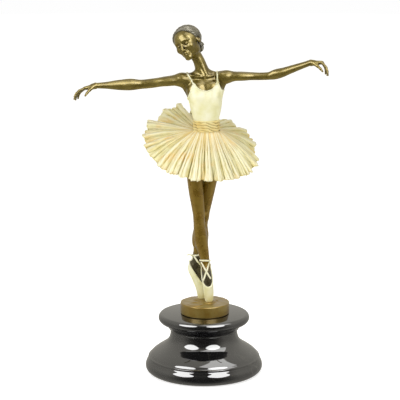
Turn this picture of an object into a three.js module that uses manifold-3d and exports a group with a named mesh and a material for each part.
// Ballet dancer statuette: a patinated bronze figure with cold-painted dress, standing en pointe
// on a round bronze plinth that is clamped to a turned two-piece marble base by one threaded rod.
// Millimetres, +Z up. The origin is the centre of the base's underside, and the dancer faces -Y,
// so her right side is towards -X.
import * as THREE from "three";
import { mergeVertices } from "three/addons/utils/BufferGeometryUtils.js";
import Module from "manifold-3d";

const wasm = await Module();
wasm.setup();

// ---------------------------------------------------------------- driving dimensions
const GAP = 0.35; // clearance left between two pieces that touch on the real object

const FELT_RADIUS = 52.5;
const FELT_THICKNESS = 1.2;
const FOOT_RADIUS = 60; // marble foot, at its widest
const FOOT_HEIGHT = 43.5;
const NECK_RADIUS = 33.8; // the marble's waist
const CAP_RADIUS = 46.5; // marble cap, at its rim
const CAP_HEIGHT = 17.2;
const TURNED_SIDES = 36;
const RIM_LIFT = 0.4; // the marble stands this far clear of the table, on its felt
const RECESS_RADIUS = 17; // pocket for the nut, in the underside
const RECESS_DEPTH = 15;
const ROD_RADIUS = 3; // M6 threaded rod
const ROD_CLEARANCE = 0.5;
const ROD_IN_PLINTH = 6;
const WASHER_RADIUS = 9;
const WASHER_THICKNESS = 1.6;
const NUT_ACROSS_FLATS = 10;
const NUT_THICKNESS = 5;
const NUT_ROD_CLEARANCE = 0.3;
const ROD_TAIL = 2.5; // thread showing below the nut

const PLINTH_RADIUS = 24.9;
const PLINTH_THICKNESS = 11.4;
const PLINTH_EDGE = 0.8; // worn edge of the disc
const PLINTH_OFFSET_X = 1; // the plinth sits a little to the dancer's left of the marble's centre
const MOUND_HEIGHT = 1.4; // modelled ground under the feet
const MOUND_RADIUS = 13;
const TENON_RADIUS = 1.8; // brazed tenons under the toes
const TENON_LENGTH = 5;
const TENON_CLEARANCE = 0.35;

const PAINTED_THICKNESS = 0.45; // dress and shoes stand this far proud of the bronze
const RIBBON_WIDTH = 1.6;
const RIBBON_THICKNESS = 0.75;
const STRAP_WIDTH = 1.7;
const STRAP_THICKNESS = 0.8;
const SASH_THICKNESS = 1.5;
const SASH_HEIGHT = 11.2;

const TUTU_LENGTH = 48.5; // waist to hem, along the net
const TUTU_THICKNESS = 1.3;
const TUTU_LAYER_STEP = 2.8; // distance from one layer to the next
const TUTU_CLEAR_OF_SASH = 2.4; // the sash is tilted and the net lifts off the hips under it
const TUTU_LAYERS = ["tutu_top_layer", "tutu_middle_layer", "tutu_under_layer"];
const TUTU_PLEATS = 12;
const TUTU_PLEAT_RISE = 1.7; // half the height of a pleat at the hem
const TUTU_MEAN_SLOPE = -22; // degrees above the horizontal, averaged round the skirt
const TUTU_SWING = 42; // how far the slope goes up and down round the skirt, in degrees
const TUTU_HIGH_SIDE = 122.5; // where the skirt is highest, in degrees from +X towards +Y
const TUTU_DROOP = 10; // how much steeper the hem is than the waist, in degrees

const SPIGOT_RADIUS = 2.2; // locating pegs between castings
const SPIGOT_LENGTH = 4.5;
const SPIGOT_CLEARANCE = 0.3;

const HEAD_HEIGHT = 32.6; // chin to crown, without the hair
const HEAD_CENTRE = new THREE.Vector3(-16.3, 0.5, 336.4);
const HEAD_TURN = new THREE.Euler(
  THREE.MathUtils.degToRad(-5), // nods
  THREE.MathUtils.degToRad(-26), // tilts to her right shoulder
  THREE.MathUtils.degToRad(-27), // looks to her right
  "YXZ",
);
const FIGURE_TOES = 74.55; // level of the toes in the dancer's own drawing
const HAIR_THICKNESS = 1.5;
const BUN_RADIUS = 7.2;

// ---------------------------------------------------------------- places worked out from them
const baseTop = FOOT_HEIGHT + GAP + CAP_HEIGHT;
const plinthBottom = baseTop + GAP;
const plinthTop = plinthBottom + PLINTH_THICKNESS;
const toeLevel = plinthTop + MOUND_HEIGHT + GAP;
const figureLift = toeLevel - FIGURE_TOES; // from where the dancer is drawn to where she stands
const recessCeiling = FELT_THICKNESS + GAP + RECESS_DEPTH;

// ---------------------------------------------------------------- solids and meshes
function solidOf(geometry) {
  const bare = geometry.index ? geometry.toNonIndexed() : geometry.clone();
  bare.deleteAttribute("normal");
  bare.deleteAttribute("uv");
  const merged = mergeVertices(bare, 1e-4);
  const index = merged.index.array;
  const kept = [];
  for (let i = 0; i < index.length; i += 3) {
    const [a, b, c] = index.slice(i, i + 3);
    if (a !== b && b !== c && c !== a) kept.push(a, b, c);
  }
  return new wasm.Manifold(
    new wasm.Mesh({
      numProp: 3,
      vertProperties: merged.attributes.position.array,
      triVerts: new Uint32Array(kept),
    }),
  );
}

function geometryOf(solid) {
  const mesh = solid.getMesh();
  const positions = new Float32Array(mesh.numVert * 3);
  for (let i = 0; i < mesh.numVert; i++)
    positions.set(mesh.vertProperties.subarray(i * mesh.numProp, i * mesh.numProp + 3), i * 3);
  const geometry = new THREE.BufferGeometry();
  geometry.setAttribute("position", new THREE.BufferAttribute(positions, 3));
  geometry.setIndex(new THREE.BufferAttribute(mesh.triVerts, 1));
  geometry.computeVertexNormals();
  return geometry;
}

// The same surface with its faces turned round.
function flipped(geometry) {
  const loose = geometry.toNonIndexed();
  const position = loose.getAttribute("position");
  const a = new THREE.Vector3();
  const b = new THREE.Vector3();
  for (let i = 0; i < position.count; i += 3) {
    a.fromBufferAttribute(position, i + 1);
    b.fromBufferAttribute(position, i + 2);
    position.setXYZ(i + 1, b.x, b.y, b.z);
    position.setXYZ(i + 2, a.x, a.y, a.z);
  }
  return loose;
}

// Keeps the largest body of a solid and drops the slivers that a cut may leave.
function largest(solid) {
  return solid.decompose().reduce((best, body) => (body.volume() > best.volume() ? body : best));
}

const unite = (...solids) => solids.reduce((all, solid) => all.add(solid));

// A closed limb or trunk: a cylinder whose rings follow a curve. Each station is
// [x, y, z, half width across, half depth towards `facing`].
function loftCurves(stations) {
  const spine = stations.map(([x, y, z]) => new THREE.Vector3(x, y, z));
  const sizes = stations.map(([, , , across, deep]) => new THREE.Vector3(across, deep, 0));
  return {
    spine: new THREE.CatmullRomCurve3(spine, false, "catmullrom", 0.5),
    sizes: new THREE.CatmullRomCurve3(sizes, false, "catmullrom", 0.5),
  };
}

function loft(stations, { sides = 14, rings = 14, grow = 0, facing = FRONT } = {}) {
  const { spine, sizes } = loftCurves(stations);
  const geometry = new THREE.CylinderGeometry(1, 1, 1, sides, rings);
  const position = geometry.getAttribute("position");
  const tangentStep = 0.01;
  for (let i = 0; i < position.count; i++) {
    const t = 0.5 - position.getY(i);
    const centre = spine.getPoint(t);
    const before = spine.getPoint(Math.max(0, t - tangentStep));
    const along = spine.getPoint(Math.min(1, t + tangentStep)).sub(before).normalize();
    const front = facing.clone().addScaledVector(along, -facing.dot(along)).normalize();
    const across = front.clone().cross(along);
    const size = sizes.getPoint(t);
    centre.addScaledVector(across, position.getX(i) * (size.x + grow));
    centre.addScaledVector(front, position.getZ(i) * (size.y + grow));
    position.setXYZ(i, centre.x, centre.y, centre.z);
  }
  return solidOf(geometry);
}

function ellipsoid([x, y, z], [rx, ry, rz], segments = 16) {
  const geometry = new THREE.SphereGeometry(1, segments, Math.round(segments * 0.7));
  geometry.rotateX(Math.PI / 2);
  geometry.scale(rx, ry, rz);
  geometry.translate(x, y, z);
  return solidOf(geometry);
}

function block([x0, x1], [y0, y1], [z0, z1]) {
  const geometry = new THREE.BoxGeometry(x1 - x0, y1 - y0, z1 - z0);
  geometry.translate((x0 + x1) / 2, (y0 + y1) / 2, (z0 + z1) / 2);
  return solidOf(geometry);
}

// A cylinder along +Z from z0 to z1.
function post(radius, z0, z1, [x, y] = [0, 0], sides = 24) {
  const geometry = new THREE.CylinderGeometry(radius, radius, z1 - z0, sides);
  geometry.rotateX(Math.PI / 2);
  geometry.translate(x, y, (z0 + z1) / 2);
  return solidOf(geometry);
}

// A peg or socket from one point towards another.
function peg(from, towards, radius, length, start = 0) {
  const direction = towards.clone().sub(from).normalize();
  const geometry = new THREE.CylinderGeometry(radius, radius, length, 12);
  geometry.applyQuaternion(
    new THREE.Quaternion().setFromUnitVectors(new THREE.Vector3(0, 1, 0), direction),
  );
  const middle = from.clone().addScaledVector(direction, start + length / 2);
  geometry.translate(middle.x, middle.y, middle.z);
  return solidOf(geometry);
}

// A front-view outline in X and Z, run through the figure from y0 to y1.
function frontCut(shape, y0, y1) {
  const geometry = new THREE.ExtrudeGeometry(shape, {
    depth: y1 - y0,
    bevelEnabled: false,
    curveSegments: 8,
  });
  geometry.rotateX(Math.PI / 2);
  geometry.translate(0, y1, 0);
  return solidOf(geometry);
}

// A flat strip in the front view between two points, as wide as a ribbon.
function strip([x0, z0], [x1, z1], width, y0, y1) {
  const half = new THREE.Vector2(z1 - z0, x0 - x1).normalize().multiplyScalar(width / 2);
  const shape = new THREE.Shape([
    new THREE.Vector2(x0 - half.x, z0 - half.y),
    new THREE.Vector2(x1 - half.x, z1 - half.y),
    new THREE.Vector2(x1 + half.x, z1 + half.y),
    new THREE.Vector2(x0 + half.x, z0 + half.y),
  ]);
  return frontCut(shape, y0, y1);
}

// The half space on the side of a point that `normal` points to, as a large box.
function halfSpace(point, normal) {
  const reach = 200;
  const geometry = new THREE.BoxGeometry(2 * reach, reach, 2 * reach);
  geometry.translate(0, reach / 2, 0);
  geometry.applyQuaternion(
    new THREE.Quaternion().setFromUnitVectors(
      new THREE.Vector3(0, 1, 0),
      normal.clone().normalize(),
    ),
  );
  geometry.translate(point.x, point.y, point.z);
  return solidOf(geometry);
}

// The slab between two parallel planes, `height` apart.
function slab(point, normal, height) {
  const unit = normal.clone().normalize();
  return halfSpace(point, unit).subtract(halfSpace(point.clone().addScaledVector(unit, height), unit));
}

const FRONT = new THREE.Vector3(0, -1, 0);
const UP = new THREE.Vector3(0, 0, 1);

// ---------------------------------------------------------------- materials
const finish = (colour, roughness, metalness) =>
  new THREE.MeshStandardMaterial({ color: colour, roughness, metalness });
const bronze = finish(0x7a5420, 0.35, 1);
const darkBronze = finish(0x4b4434, 0.4, 1);
const creamPaint = finish(0xf1ebc6, 0.4, 0);
const netPaint = finish(0xeedc9b, 0.5, 0);
const marble = finish(0x101012, 0.08, 0);
const steel = finish(0x9a9c9e, 0.4, 1);
const felt = finish(0x1d3b2a, 0.95, 0);

const statuette = new THREE.Group();
function piece(name, solid, material) {
  const mesh = new THREE.Mesh(geometryOf(solid), material);
  mesh.name = name;
  statuette.add(mesh);
}

const figurePiece = (name, solid, material) => piece(name, solid.translate([0, 0, figureLift]), material);

// ---------------------------------------------------------------- marble base and its fixing
function turned(outline) {
  const geometry = new THREE.LatheGeometry(outline.getPoints(), TURNED_SIDES);
  geometry.rotateX(Math.PI / 2);
  const solid = solidOf(geometry);
  return solid.volume() < 0 ? solidOf(flipped(geometry)) : solid;
}

// Share of the way out from the neck to the shoulder, and of the way up, along the bell.
const BELL = [
  [0.82, 0.13],
  [0.63, 0.25],
  [0.42, 0.37],
  [0.23, 0.48],
  [0.1, 0.61],
  [0.03, 0.76],
];

function marbleFoot() {
  const feltPocket = FELT_RADIUS + GAP;
  const shoulder = FOOT_RADIUS - 4.6;
  const shoulderHeight = 17.8;
  const outline = new THREE.Path();
  outline.moveTo(0, recessCeiling);
  outline.lineTo(RECESS_RADIUS, recessCeiling);
  outline.lineTo(RECESS_RADIUS, FELT_THICKNESS + GAP);
  outline.lineTo(feltPocket, FELT_THICKNESS + GAP);
  outline.lineTo(feltPocket, RIM_LIFT);
  outline.lineTo(FOOT_RADIUS - 5.5, RIM_LIFT);
  outline.lineTo(FOOT_RADIUS - 3.3, 1.7);
  outline.lineTo(FOOT_RADIUS - 1.3, 4.4);
  outline.lineTo(FOOT_RADIUS, 9.2);
  outline.lineTo(FOOT_RADIUS - 0.6, 12.4);
  outline.lineTo(FOOT_RADIUS - 2, 15);
  outline.lineTo(FOOT_RADIUS - 3.2, 15.8);
  outline.lineTo(FOOT_RADIUS - 3.2, 16.8);
  outline.lineTo(shoulder, shoulderHeight);
  for (const [out, up] of BELL)
    outline.lineTo(
      NECK_RADIUS + out * (shoulder - NECK_RADIUS),
      shoulderHeight + up * (FOOT_HEIGHT - shoulderHeight),
    );
  outline.lineTo(NECK_RADIUS, FOOT_HEIGHT);
  outline.lineTo(0, FOOT_HEIGHT);
  return turned(outline);
}

function marbleCap() {
  const bottom = FOOT_HEIGHT + GAP;
  const outline = new THREE.Path();
  outline.moveTo(0, bottom);
  outline.lineTo(NECK_RADIUS, bottom);
  outline.lineTo(NECK_RADIUS + 0.4, bottom + 1.2);
  outline.lineTo(NECK_RADIUS + 2.3, bottom + 1.8);
  outline.lineTo(NECK_RADIUS + 3.7, bottom + 4.1);
  outline.lineTo(NECK_RADIUS + 6.2, bottom + 6.9);
  outline.lineTo(NECK_RADIUS + 7.6, bottom + 7.3);
  outline.lineTo(CAP_RADIUS - 1.2, baseTop - 6.6);
  outline.lineTo(CAP_RADIUS, baseTop - 3.8);
  outline.lineTo(CAP_RADIUS - 0.2, baseTop - 1.4);
  outline.lineTo(CAP_RADIUS - 1.4, baseTop);
  outline.lineTo(0, baseTop);
  return turned(outline);
}

const rodHole = post(ROD_RADIUS + ROD_CLEARANCE, -1, plinthBottom);
const nutTop = recessCeiling - GAP - WASHER_THICKNESS - GAP;
const nutBottom = nutTop - NUT_THICKNESS;
const rodTop = plinthBottom + ROD_IN_PLINTH;

piece("felt_pad", post(FELT_RADIUS, 0, FELT_THICKNESS, [0, 0], TURNED_SIDES), felt);
piece("marble_foot", marbleFoot().subtract(rodHole), marble);
piece("marble_cap", marbleCap().subtract(rodHole), marble);
piece("threaded_rod", post(ROD_RADIUS, nutBottom - ROD_TAIL, rodTop), steel);
piece(
  "clamp_washer",
  post(WASHER_RADIUS, recessCeiling - GAP - WASHER_THICKNESS, recessCeiling - GAP).subtract(
    post(ROD_RADIUS + ROD_CLEARANCE, 0, recessCeiling),
  ),
  steel,
);
piece(
  "clamp_nut",
  post(NUT_ACROSS_FLATS / Math.sqrt(3), nutBottom, nutTop, [0, 0], 6).subtract(
    post(ROD_RADIUS + NUT_ROD_CLEARANCE, 0, recessCeiling),
  ),
  steel,
);

// ---------------------------------------------------------------- legs and feet
// Her right leg crosses in front of the left, and both feet stand on the tips of their shoes.
const RIGHT_TOE = [5.1, -3];
const LEFT_TOE = [-2.4, 8];
const RIGHT_LEG = [
  [-8.6, -1.5, 236, 8.6, 9.4],
  [-9.2, -2.6, 218, 8.5, 9.2],
  [-9.1, -3.6, 200, 7.8, 8.4],
  [-7, -4.8, 182, 7.2, 7.4],
  [-5.3, -5.6, 166, 6, 6.6],
  [-4.7, -5.4, 157, 5.9, 6],
  [-3.7, -4.6, 145, 6.6, 6.6],
  [-2.4, -4, 134, 6.5, 6.3],
  [-0.4, -3.4, 124, 5.6, 5.3],
  [1.1, -3, 116, 4.7, 4.9],
  [2.2, -3.6, 109, 4.6, 6.2],
  [3.2, -5.4, 102, 4.9, 6.4],
  [4.1, -6, 93, 4.9, 5],
  [4.8, -4.6, 83, 4.5, 4.2],
  [RIGHT_TOE[0], RIGHT_TOE[1], FIGURE_TOES, 3.4, 3.2],
];
const LEFT_LEG = [
  [8.4, 1.5, 236, 8.6, 9.4],
  [8.2, 2.8, 218, 8.4, 9],
  [6.2, 4, 200, 7.6, 8],
  [2.8, 5.4, 182, 7, 7.2],
  [0.4, 6.2, 166, 6, 6.4],
  [-1.2, 6.6, 157, 5.8, 6],
  [-3, 7.2, 145, 6.4, 6.2],
  [-4.4, 7.4, 134, 6.2, 6],
  [-5.4, 7.6, 124, 5.4, 5],
  [-6.6, 7.8, 117, 4.9, 4.6],
  [-8.6, 8.2, 110, 6.4, 4.6],
  [-8.2, 8.6, 103, 7.6, 4.9],
  [-5.6, 8.6, 94, 5.8, 4.8],
  [-3.2, 8.2, 84, 4.4, 4.4],
  [LEFT_TOE[0], LEFT_TOE[1], FIGURE_TOES, 3.3, 3.3],
];
const legOptions = { sides: 14, rings: 24 };
const rightLeg = (grow) => loft(RIGHT_LEG, { ...legOptions, grow });
const leftLeg = (grow) => loft(LEFT_LEG, { ...legOptions, grow });

// A pointe shoe covers the foot below a sloping plane, low over the toes and high at the heel.
const rightOpening = { point: new THREE.Vector3(3, -11, 88), normal: new THREE.Vector3(0, 0.9, -0.43) };
const leftOpening = {
  point: new THREE.Vector3(-13.6, 8, 111),
  normal: new THREE.Vector3(-0.82, 0.2, -0.53),
};

function shoe(leg, opening, [toeX, toeY]) {
  const shell = leg(PAINTED_THICKNESS).intersect(halfSpace(opening.point, opening.normal));
  const below = block([-99, 99], [-99, 99], [0, FIGURE_TOES]);
  const tenon = post(TENON_RADIUS, FIGURE_TOES - TENON_LENGTH, FIGURE_TOES + 2, [toeX, toeY], 12);
  return unite(largest(shell.subtract(below)), tenon);
}

function bareLeg(leg, opening) {
  const back = opening.normal.clone().normalize().multiplyScalar(-GAP);
  const shoeSide = halfSpace(opening.point.clone().add(back), opening.normal);
  return largest(leg(0).subtract(shoeSide));
}

// Ribbons are a thin shell over the leg, cut to a band round the ankle and two crossing strips.
function ribbonShell(leg) {
  return leg(GAP + RIBBON_THICKNESS).subtract(leg(GAP));
}

const rightBand = slab(new THREE.Vector3(1.2, -3, 115), new THREE.Vector3(0, 0.3, 1), RIBBON_WIDTH);
const rightCross = unite(
  strip([-2.2, 116.5], [7.4, 100], RIBBON_WIDTH, -30, -3),
  strip([6.2, 116.5], [-0.6, 96.5], RIBBON_WIDTH, -30, -3),
);
const leftBand = slab(new THREE.Vector3(-6, 8, 119), new THREE.Vector3(-0.2, 0.1, 1), RIBBON_WIDTH);
const leftCross = strip([-10.5, 120.5], [-1.5, 113], RIBBON_WIDTH, -30, 8);

function ribbon(leg, opening, cut) {
  const clear = opening.normal.clone().normalize().multiplyScalar(-2 * GAP);
  const shoeSide = halfSpace(opening.point.clone().add(clear), opening.normal);
  return ribbonShell(leg).intersect(cut).subtract(shoeSide);
}

const rightRibbon = largest(ribbon(rightLeg, rightOpening, unite(rightBand, rightCross)));
const keepOut = rightLeg(GAP + RIBBON_THICKNESS + GAP).intersect(block([-99, 99], [-99, 99], [90, 122]));
const rightSide = unite(rightLeg(GAP), keepOut, shoe(rightLeg, rightOpening, RIGHT_TOE));

figurePiece("right_leg", bareLeg(rightLeg, rightOpening), bronze);
figurePiece("left_leg", largest(bareLeg(leftLeg, leftOpening).subtract(rightSide)), bronze);
figurePiece("right_pointe_shoe", shoe(rightLeg, rightOpening, RIGHT_TOE), creamPaint);
figurePiece(
  "left_pointe_shoe",
  largest(shoe(leftLeg, leftOpening, LEFT_TOE).subtract(rightLeg(PAINTED_THICKNESS + GAP))),
  creamPaint,
);
figurePiece("right_ankle_ribbon", rightRibbon, creamPaint);
figurePiece(
  "left_ankle_ribbon",
  largest(ribbon(leftLeg, leftOpening, unite(leftBand, leftCross)).subtract(rightSide)),
  creamPaint,
);

// ---------------------------------------------------------------- bronze plinth
function plinth() {
  const centre = [PLINTH_OFFSET_X, 0];
  const disc = unite(
    post(PLINTH_RADIUS, plinthBottom, plinthTop - PLINTH_EDGE, centre, TURNED_SIDES),
    post(PLINTH_RADIUS - PLINTH_EDGE, plinthBottom, plinthTop, centre, TURNED_SIDES),
  );
  const mound = solidOf(
    new THREE.CylinderGeometry(MOUND_RADIUS - 3, MOUND_RADIUS, 2 * MOUND_HEIGHT, 20)
      .rotateX(Math.PI / 2)
      .translate(PLINTH_OFFSET_X - 1, 3, plinthTop),
  );
  const sockets = [RIGHT_TOE, LEFT_TOE].map((toe) =>
    post(TENON_RADIUS + TENON_CLEARANCE, toeLevel - TENON_LENGTH - GAP, toeLevel, toe, 12),
  );
  const rodSocket = post(ROD_RADIUS + ROD_CLEARANCE, 0, rodTop + GAP);
  return unite(disc, mound).subtract(unite(rodSocket, ...sockets));
}
piece("bronze_plinth", plinth(), bronze);

// ---------------------------------------------------------------- trunk
const TRUNK = [
  [-0.6, 1, 212, 12, 9.5],
  [-0.4, 1, 219, 16.2, 12.6],
  [0, 0.8, 229, 17, 13.4],
  [1, 0.4, 239, 15.2, 11.8],
  [1.9, 0.1, 246, 12.9, 10],
  [2.3, -0.2, 253, 11.4, 9.1],
  [2.3, -0.4, 260, 12.1, 9.4],
  [1.9, -0.8, 268, 14.2, 10.5],
  [1.6, -1.4, 276, 15.8, 11.8],
  [1, -2, 283, 17.2, 12.6],
  [0.2, -1.2, 291, 18.6, 11.8],
  [-0.4, 0.6, 299, 19.4, 9.4],
  [-0.6, 2, 305, 13, 7],
];
const SHOULDERS = [
  [-25, 0.6, 299.6, 5.6, 6],
  [-18, 1, 300.4, 6, 6.6],
  [-9, 1.6, 301.2, 5.4, 6.4],
  [0, 2, 301.6, 5, 6],
  [9, 1.8, 302, 5, 6.4],
  [17, 1.4, 302.4, 5.4, 6.4],
  [25, 1, 302.8, 5, 5.6],
];
const NECK = [
  [0.6, 1.6, 298, 10, 7.4],
  [-0.4, 1.8, 304, 8.6, 6.6],
  [-1.8, 1.7, 310, 7.2, 6.2],
  [-3.2, 1.5, 315.5, 6.4, 6],
  [-6, 1.4, 321.5, 6.2, 6.2],
  [-10.5, 2, 329, 6, 6.4],
];
const trunk = (grow) =>
  unite(
    loft(TRUNK, { sides: 22, rings: 16, grow }),
    loft(SHOULDERS, { sides: 12, rings: 8, grow }),
  );

// Where the leotard's painted edge runs in front view: armhole, strap, neckline, strap, armhole.
const STRAP_FOOT = { right: [-11.6, 296], left: [13.6, 299] };
const STRAP_TOP = { right: [-17.6, 309], left: [13.2, 310] };
const ARMHOLE = { right: [-16.4, 279], left: [19, 290.5] };

function leotardEdge(scoopZ, drop) {
  const reach = 60;
  const half = STRAP_WIDTH / 2;
  const shape = new THREE.Shape();
  const [rightX, rightZ] = STRAP_FOOT.right;
  const [leftX, leftZ] = STRAP_FOOT.left;
  shape.moveTo(-reach, ARMHOLE.right[1] - drop);
  shape.lineTo(ARMHOLE.right[0], ARMHOLE.right[1] - drop);
  shape.quadraticCurveTo(rightX - half - 1, rightZ - 8 - drop, rightX - half, rightZ - drop);
  shape.lineTo(rightX + half, rightZ - drop);
  shape.quadraticCurveTo(-6, scoopZ - drop, 3, scoopZ - drop);
  shape.quadraticCurveTo(leftX - 2, scoopZ + 1 - drop, leftX - half, leftZ - drop);
  shape.lineTo(leftX + half, leftZ - drop);
  shape.quadraticCurveTo(leftX + half + 0.6, leftZ - 5 - drop, ARMHOLE.left[0], ARMHOLE.left[1] - drop);
  shape.lineTo(reach, ARMHOLE.left[1] - drop);
  shape.lineTo(reach, 340);
  shape.lineTo(-reach, 340);
  return shape;
}
const FRONT_SCOOP = 290.6;
const BACK_SCOOP = 280;
const bareSkin = (drop) =>
  unite(
    frontCut(leotardEdge(FRONT_SCOOP, drop), -60, 0),
    frontCut(leotardEdge(BACK_SCOOP, drop), 0, 60),
  );

const WAIST_SEAM = 250; // the bodice casting meets the hip casting under the sash
const HIP_TOP = WAIST_SEAM - GAP;
const SASH_TILT = new THREE.Vector3(-0.03, 0.06, 1);
const SASH_FOOT = new THREE.Vector3(2, 0, 249.4);

const ARM_SEAM = { right: -20.6, left: 20.6 };
const NECK_SEAM = new THREE.Vector3(-1.8, 1.6, 309.4);
const NECK_DIRECTION = new THREE.Vector3(-0.4, -0.05, 1).normalize();
const armSocket = {
  right: new THREE.Vector3(ARM_SEAM.right, 1, 300),
  left: new THREE.Vector3(ARM_SEAM.left, 1.4, 302.6),
};
const rightwards = new THREE.Vector3(-100, 0, 300);
const leftwards = new THREE.Vector3(100, 1.4, 302.6);

function socket(at, outwards) {
  const depth = SPIGOT_LENGTH + GAP;
  return peg(at, outwards, SPIGOT_RADIUS + SPIGOT_CLEARANCE, depth + 1, -depth);
}

function bust() {
  const upper = unite(
    trunk(0).intersect(bareSkin(0)),
    loft(NECK, { sides: 14, rings: 10 }).intersect(bareSkin(0)),
  );
  const span = block([ARM_SEAM.right, ARM_SEAM.left], [-60, 60], [200, 400]);
  const belowNeck = halfSpace(NECK_SEAM, NECK_DIRECTION.clone().negate());
  return largest(
    upper
      .intersect(span)
      .intersect(belowNeck)
      .subtract(socket(armSocket.right, rightwards))
      .subtract(socket(armSocket.left, leftwards))
      .subtract(peg(NECK_SEAM, HEAD_CENTRE, SPIGOT_RADIUS + SPIGOT_CLEARANCE, 6, -5)),
  );
}

function bodice() {
  const above = block([-99, 99], [-99, 99], [WAIST_SEAM, 400]);
  const painted = trunk(PAINTED_THICKNESS).intersect(above);
  const arms = block([-99, ARM_SEAM.right + 2], [-99, 99], [290, 400]).add(
    block([ARM_SEAM.left - 0.5, 99], [-99, 99], [290, 400]),
  );
  return largest(painted.subtract(bareSkin(GAP + 0.15)).subtract(arms));
}

function shoulderStrap(side) {
  const [footX, footZ] = STRAP_FOOT[side];
  const ribbon = strip([footX, footZ + GAP], STRAP_TOP[side], STRAP_WIDTH, -40, 40);
  const shell = trunk(GAP + STRAP_THICKNESS).subtract(trunk(GAP));
  return largest(shell.intersect(ribbon).subtract(loft(NECK, { grow: GAP })));
}

function hips() {
  const below = block([-99, 99], [-99, 99], [200, HIP_TOP]);
  const legs = unite(rightLeg(GAP), leftLeg(GAP));
  return largest(trunk(PAINTED_THICKNESS).intersect(below).subtract(legs));
}

function sash() {
  const shell = trunk(PAINTED_THICKNESS + GAP + SASH_THICKNESS).subtract(
    trunk(PAINTED_THICKNESS + GAP),
  );
  return largest(shell.intersect(slab(SASH_FOOT, SASH_TILT, SASH_HEIGHT)));
}

figurePiece("hips", hips(), creamPaint);
figurePiece("bodice", bodice(), creamPaint);
figurePiece("bust", bust(), bronze);
figurePiece("right_shoulder_strap", shoulderStrap("right"), creamPaint);
figurePiece("left_shoulder_strap", shoulderStrap("left"), creamPaint);
figurePiece("sash", sash(), netPaint);

// ---------------------------------------------------------------- tutu
const trunkCurves = loftCurves(TRUNK);

function trunkSection(level) {
  let low = 0;
  let high = 1;
  for (let i = 0; i < 30; i++) {
    const middle = (low + high) / 2;
    if (trunkCurves.spine.getPoint(middle).z < level) low = middle;
    else high = middle;
  }
  return { centre: trunkCurves.spine.getPoint(low), size: trunkCurves.sizes.getPoint(low) };
}

// A layer starts as a flat ring of net, turned as a lathe, and each of its points is then swung to
// the slope that the skirt has on that side and lifted or lowered by its pleat.
function tutuLayer(layer) {
  const root = SASH_FOOT.z - TUTU_CLEAR_OF_SASH - TUTU_THICKNESS - layer * TUTU_LAYER_STEP;
  const length = TUTU_LENGTH - layer * 2;
  const { centre, size } = trunkSection(root);
  const inner = PAINTED_THICKNESS + 2 * GAP;
  const steps = 4;
  const profile = [];
  for (let i = 0; i <= steps; i++) profile.push(new THREE.Vector2(1 + i / steps, 0));
  for (let i = steps; i >= 0; i--) profile.push(new THREE.Vector2(1 + i / steps, TUTU_THICKNESS));
  profile.push(profile[0].clone());
  const geometry = new THREE.LatheGeometry(profile, TUTU_PLEATS * 4);
  geometry.rotateX(Math.PI / 2);
  const position = geometry.getAttribute("position");
  for (let i = 0; i < position.count; i++) {
    const angle = Math.atan2(position.getY(i), position.getX(i));
    const along = Math.hypot(position.getX(i), position.getY(i)) - 1;
    const slope = THREE.MathUtils.degToRad(
      TUTU_MEAN_SLOPE +
        TUTU_SWING * Math.cos(angle - THREE.MathUtils.degToRad(TUTU_HIGH_SIDE)) -
        TUTU_DROOP * (along - 0.5),
    );
    const pleat = TUTU_PLEAT_RISE * along * Math.cos(TUTU_PLEATS * angle);
    const out = along * length * Math.cos(slope);
    const up = along * length * Math.sin(slope) + pleat + position.getZ(i);
    position.setXYZ(
      i,
      centre.x + (size.x + inner + out) * Math.cos(angle),
      centre.y + (size.y + inner + out) * Math.sin(angle),
      root + up,
    );
  }
  const solid = solidOf(geometry);
  return solid.volume() < 0 ? solidOf(flipped(geometry)) : solid;
}

TUTU_LAYERS.forEach((name, layer) => figurePiece(name, tutuLayer(layer), netPaint));

// ---------------------------------------------------------------- arms and hands
const RIGHT_ARM = [
  [-17, 0.8, 300, 6.2, 6.2],
  [-24, 0.4, 299.8, 6.2, 6.2],
  [-32, -0.4, 299.4, 5.3, 5.6],
  [-42, -1.2, 298.1, 4.9, 5],
  [-53, -1.8, 296.6, 4.8, 4.8],
  [-64, -2.6, 295.7, 4.7, 4.6],
  [-73, -4, 295.4, 5.4, 5],
  [-83, -6.4, 295.6, 5, 4.6],
  [-95.5, -9.8, 295.6, 3.7, 3.8],
  [-106, -12.8, 295.6, 2.8, 3.3],
];
const LEFT_ARM = [
  [17, 1.2, 302.6, 5.8, 5.8],
  [24, 1, 303, 5.8, 5.8],
  [33, 0.4, 303.4, 4.8, 5.2],
  [45, 0, 303.6, 4.4, 4.6],
  [56, -0.4, 303.4, 4.1, 4.4],
  [65, -1.2, 304, 4.2, 4.4],
  [73, -2.8, 306, 4.8, 4.6],
  [83, -5, 309.6, 4.4, 4.3],
  [95, -8, 314.2, 3.5, 3.7],
  [104, -10.4, 317.8, 2.9, 3.3],
];

function arm(stations, at, inwards, side) {
  const outside = block(
    side < 0 ? [-200, ARM_SEAM.right - GAP] : [ARM_SEAM.left + GAP, 200],
    [-99, 99],
    [200, 400],
  );
  const spigot = peg(at, inwards, SPIGOT_RADIUS, SPIGOT_LENGTH + 3, -3);
  return unite(loft(stations, { sides: 12, rings: 16 }).intersect(outside), spigot);
}
figurePiece("right_arm", arm(RIGHT_ARM, armSocket.right, rightwards.clone().multiplyScalar(-1).setZ(300), -1), bronze);
figurePiece("left_arm", arm(LEFT_ARM, armSocket.left, leftwards.clone().multiplyScalar(-1).setZ(302.6), 1), bronze);

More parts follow.
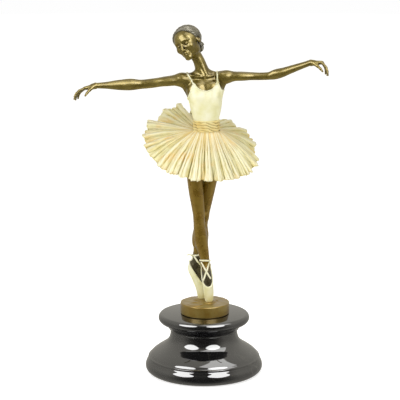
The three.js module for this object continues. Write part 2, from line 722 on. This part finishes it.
// A hand in its own frame: x runs from the wrist to the fingers, y towards the thumb, z out of the
// back of the hand. Fingers are [knuckle y, length, droop and curl in degrees].
const PALM = [
  [0, 0, 0, 3, 2.6],
  [4, 0, -0.2, 3.5, 2.3],
  [9, 0.1, -0.4, 4.3, 2],
  [13.5, 0.2, -0.9, 4.3, 1.6],
];
const FINGER_RADIUS = 1.12;
const PALM_LENGTH = 12.5;
const WRIST_GAP = 0.8; // the hand is set at an angle to the forearm, so its seam needs more room

function digit(start, lengths, angles, spread, radius) {
  const points = [start.clone()];
  let droop = 0;
  lengths.forEach((length, i) => {
    droop += THREE.MathUtils.degToRad(angles[i]);
    points.push(
      points[i]
        .clone()
        .add(
          new THREE.Vector3(
            length * Math.cos(droop) * Math.cos(spread),
            length * Math.cos(droop) * Math.sin(spread),
            -length * Math.sin(droop),
          ),
        ),
    );
  });
  const stations = points.map((p, i) => {
    const taper = radius * (1 - 0.12 * i);
    return [p.x, p.y, p.z, taper, taper];
  });
  const tip = points[points.length - 1];
  const finger = loft(stations, { sides: 6, rings: 4, facing: UP });
  return finger.add(ellipsoid([tip.x, tip.y, tip.z], Array(3).fill(radius * 0.62), 6));
}

function hand(fingers, thumb, side) {
  const flip = ([x, y, z, ...rest]) => [x, y * side, z, ...rest];
  let made = loft(PALM.map(flip), { sides: 10, rings: 5, facing: UP });
  for (const { y, length, curl, spread } of fingers) {
    const start = new THREE.Vector3(PALM_LENGTH - Math.abs(y) * 0.25, y * side, -0.9);
    const lengths = [0.46, 0.3, 0.24].map((share) => share * length);
    made = made.add(digit(start, lengths, curl, (spread * side * Math.PI) / 180, FINGER_RADIUS));
  }
  const root = new THREE.Vector3(4.6, 3 * side, -1.2);
  return made.add(
    digit(root, [5.6, 3.6, 3], thumb.curl, (thumb.spread * side * Math.PI) / 180, 1.35),
  );
}

function placed(solid, origin, along, back) {
  const x = along.clone().normalize();
  const z = back.clone().addScaledVector(x, -back.dot(x)).normalize();
  const y = z.clone().cross(x);
  const matrix = new THREE.Matrix4().makeBasis(x, y, z).setPosition(origin);
  return solidOf(geometryOf(solid).applyMatrix4(matrix));
}

const RIGHT_FINGERS = [
  { y: 3, length: 14.5, curl: [14, 20, 16], spread: 4 },
  { y: 1.1, length: 15.5, curl: [20, 22, 18], spread: 1 },
  { y: -0.9, length: 14.6, curl: [26, 22, 18], spread: -2 },
  { y: -2.8, length: 12, curl: [30, 22, 18], spread: -5 },
];
const LEFT_FINGERS = [
  { y: 3, length: 13.5, curl: [48, 22, 14], spread: 3 },
  { y: 1.1, length: 14.5, curl: [54, 22, 14], spread: 1 },
  { y: -0.9, length: 13.8, curl: [58, 22, 14], spread: -1 },
  { y: -2.8, length: 11.5, curl: [62, 22, 14], spread: -4 },
];
const rightWrist = new THREE.Vector3(-106 - WRIST_GAP, -13, 295.6);
const leftWrist = new THREE.Vector3(104 + WRIST_GAP, -10.6, 318);
figurePiece(
  "right_hand",
  placed(
    hand(RIGHT_FINGERS, { curl: [30, 8, 6], spread: 20 }, 1),
    rightWrist,
    new THREE.Vector3(-1, -0.25, -0.14),
    new THREE.Vector3(-0.1, 0.25, 1),
  ),
  bronze,
);
figurePiece(
  "left_hand",
  placed(
    hand(LEFT_FINGERS, { curl: [36, 10, 8], spread: 14 }, -1),
    leftWrist,
    new THREE.Vector3(1, -0.25, 0.12),
    new THREE.Vector3(0.1, 0.2, 1),
  ),
  bronze,
);

// ---------------------------------------------------------------- head and hair
// The head's own frame: x to her left, y to the back, z to the crown, from the head's centre.
const headMatrix = new THREE.Matrix4().makeRotationFromEuler(HEAD_TURN).setPosition(HEAD_CENTRE);
const inHeadFrame = (solid) => solidOf(geometryOf(solid).applyMatrix4(headMatrix));
const h = HEAD_HEIGHT / 34; // features are drawn for a head 34 high

function skull(grow) {
  const cranium = ellipsoid([0, 2.8 * h, 4.4 * h], [13.2, 15.8, 12.6].map((r) => r * h + grow), 16);
  const face = ellipsoid([0, -4.2 * h, -3 * h], [10.6, 9.4, 12.6].map((r) => r * h + grow), 14);
  const jaw = ellipsoid([0, -5.8 * h, -9.6 * h], [6.6, 6.6, 7.2].map((r) => r * h + grow), 12);
  return unite(cranium, face, jaw);
}

function faceDetail() {
  const nose = loft(
    [
      [0, -12.2 * h, 2 * h, 1.2 * h, 1.4 * h],
      [0, -13.4 * h, -2 * h, 1.3 * h, 1.6 * h],
      [0, -13.8 * h, -5 * h, 1.7 * h, 2 * h],
      [0, -12.6 * h, -6.2 * h, 1.2 * h, 1.4 * h],
    ],
    { sides: 7, rings: 4 },
  );
  const ears = [-1, 1].map((side) =>
    ellipsoid([side * 12.4 * h, 1.6 * h, -1.4 * h], [1.6 * h, 2.8 * h, 4 * h], 8),
  );
  return unite(nose, ...ears);
}

const aboveSeam = halfSpace(NECK_SEAM.clone().addScaledVector(NECK_DIRECTION, GAP), NECK_DIRECTION);
const neck = loft(NECK, { sides: 14, rings: 10 }).intersect(aboveSeam);
const neckPeg = peg(NECK_SEAM, HEAD_CENTRE, SPIGOT_RADIUS, 9, -4.4);
const head = unite(inHeadFrame(unite(skull(0), faceDetail())), neck, neckPeg);

// Combed-back hair covers the skull behind a hairline plane that slopes from brow to nape.
const hairline = halfSpace(new THREE.Vector3(0, -7.4 * h, 12.5 * h), new THREE.Vector3(0, 0.86, 0.5));
const napeCut = halfSpace(new THREE.Vector3(0, 8 * h, -7.5 * h), new THREE.Vector3(0, 0.35, 1));
const bunCentre = new THREE.Vector3(0, 18 * h, -8 * h);
const bun = inHeadFrame(
  ellipsoid(bunCentre.toArray(), [BUN_RADIUS, BUN_RADIUS * 0.8, BUN_RADIUS], 12),
);
const clearHead = unite(
  inHeadFrame(unite(skull(GAP), faceDetail())),
  loft(NECK, { sides: 14, rings: 10, grow: GAP }),
);
const hairCap = largest(
  inHeadFrame(skull(GAP + HAIR_THICKNESS).intersect(hairline).intersect(napeCut)).subtract(clearHead),
);
const hairRoom = inHeadFrame(skull(GAP + HAIR_THICKNESS + GAP));

figurePiece("head", head, bronze);
figurePiece("hair", hairCap, darkBronze);
figurePiece("hair_bun", largest(bun.subtract(hairRoom).subtract(clearHead)), darkBronze);

export default statuette;
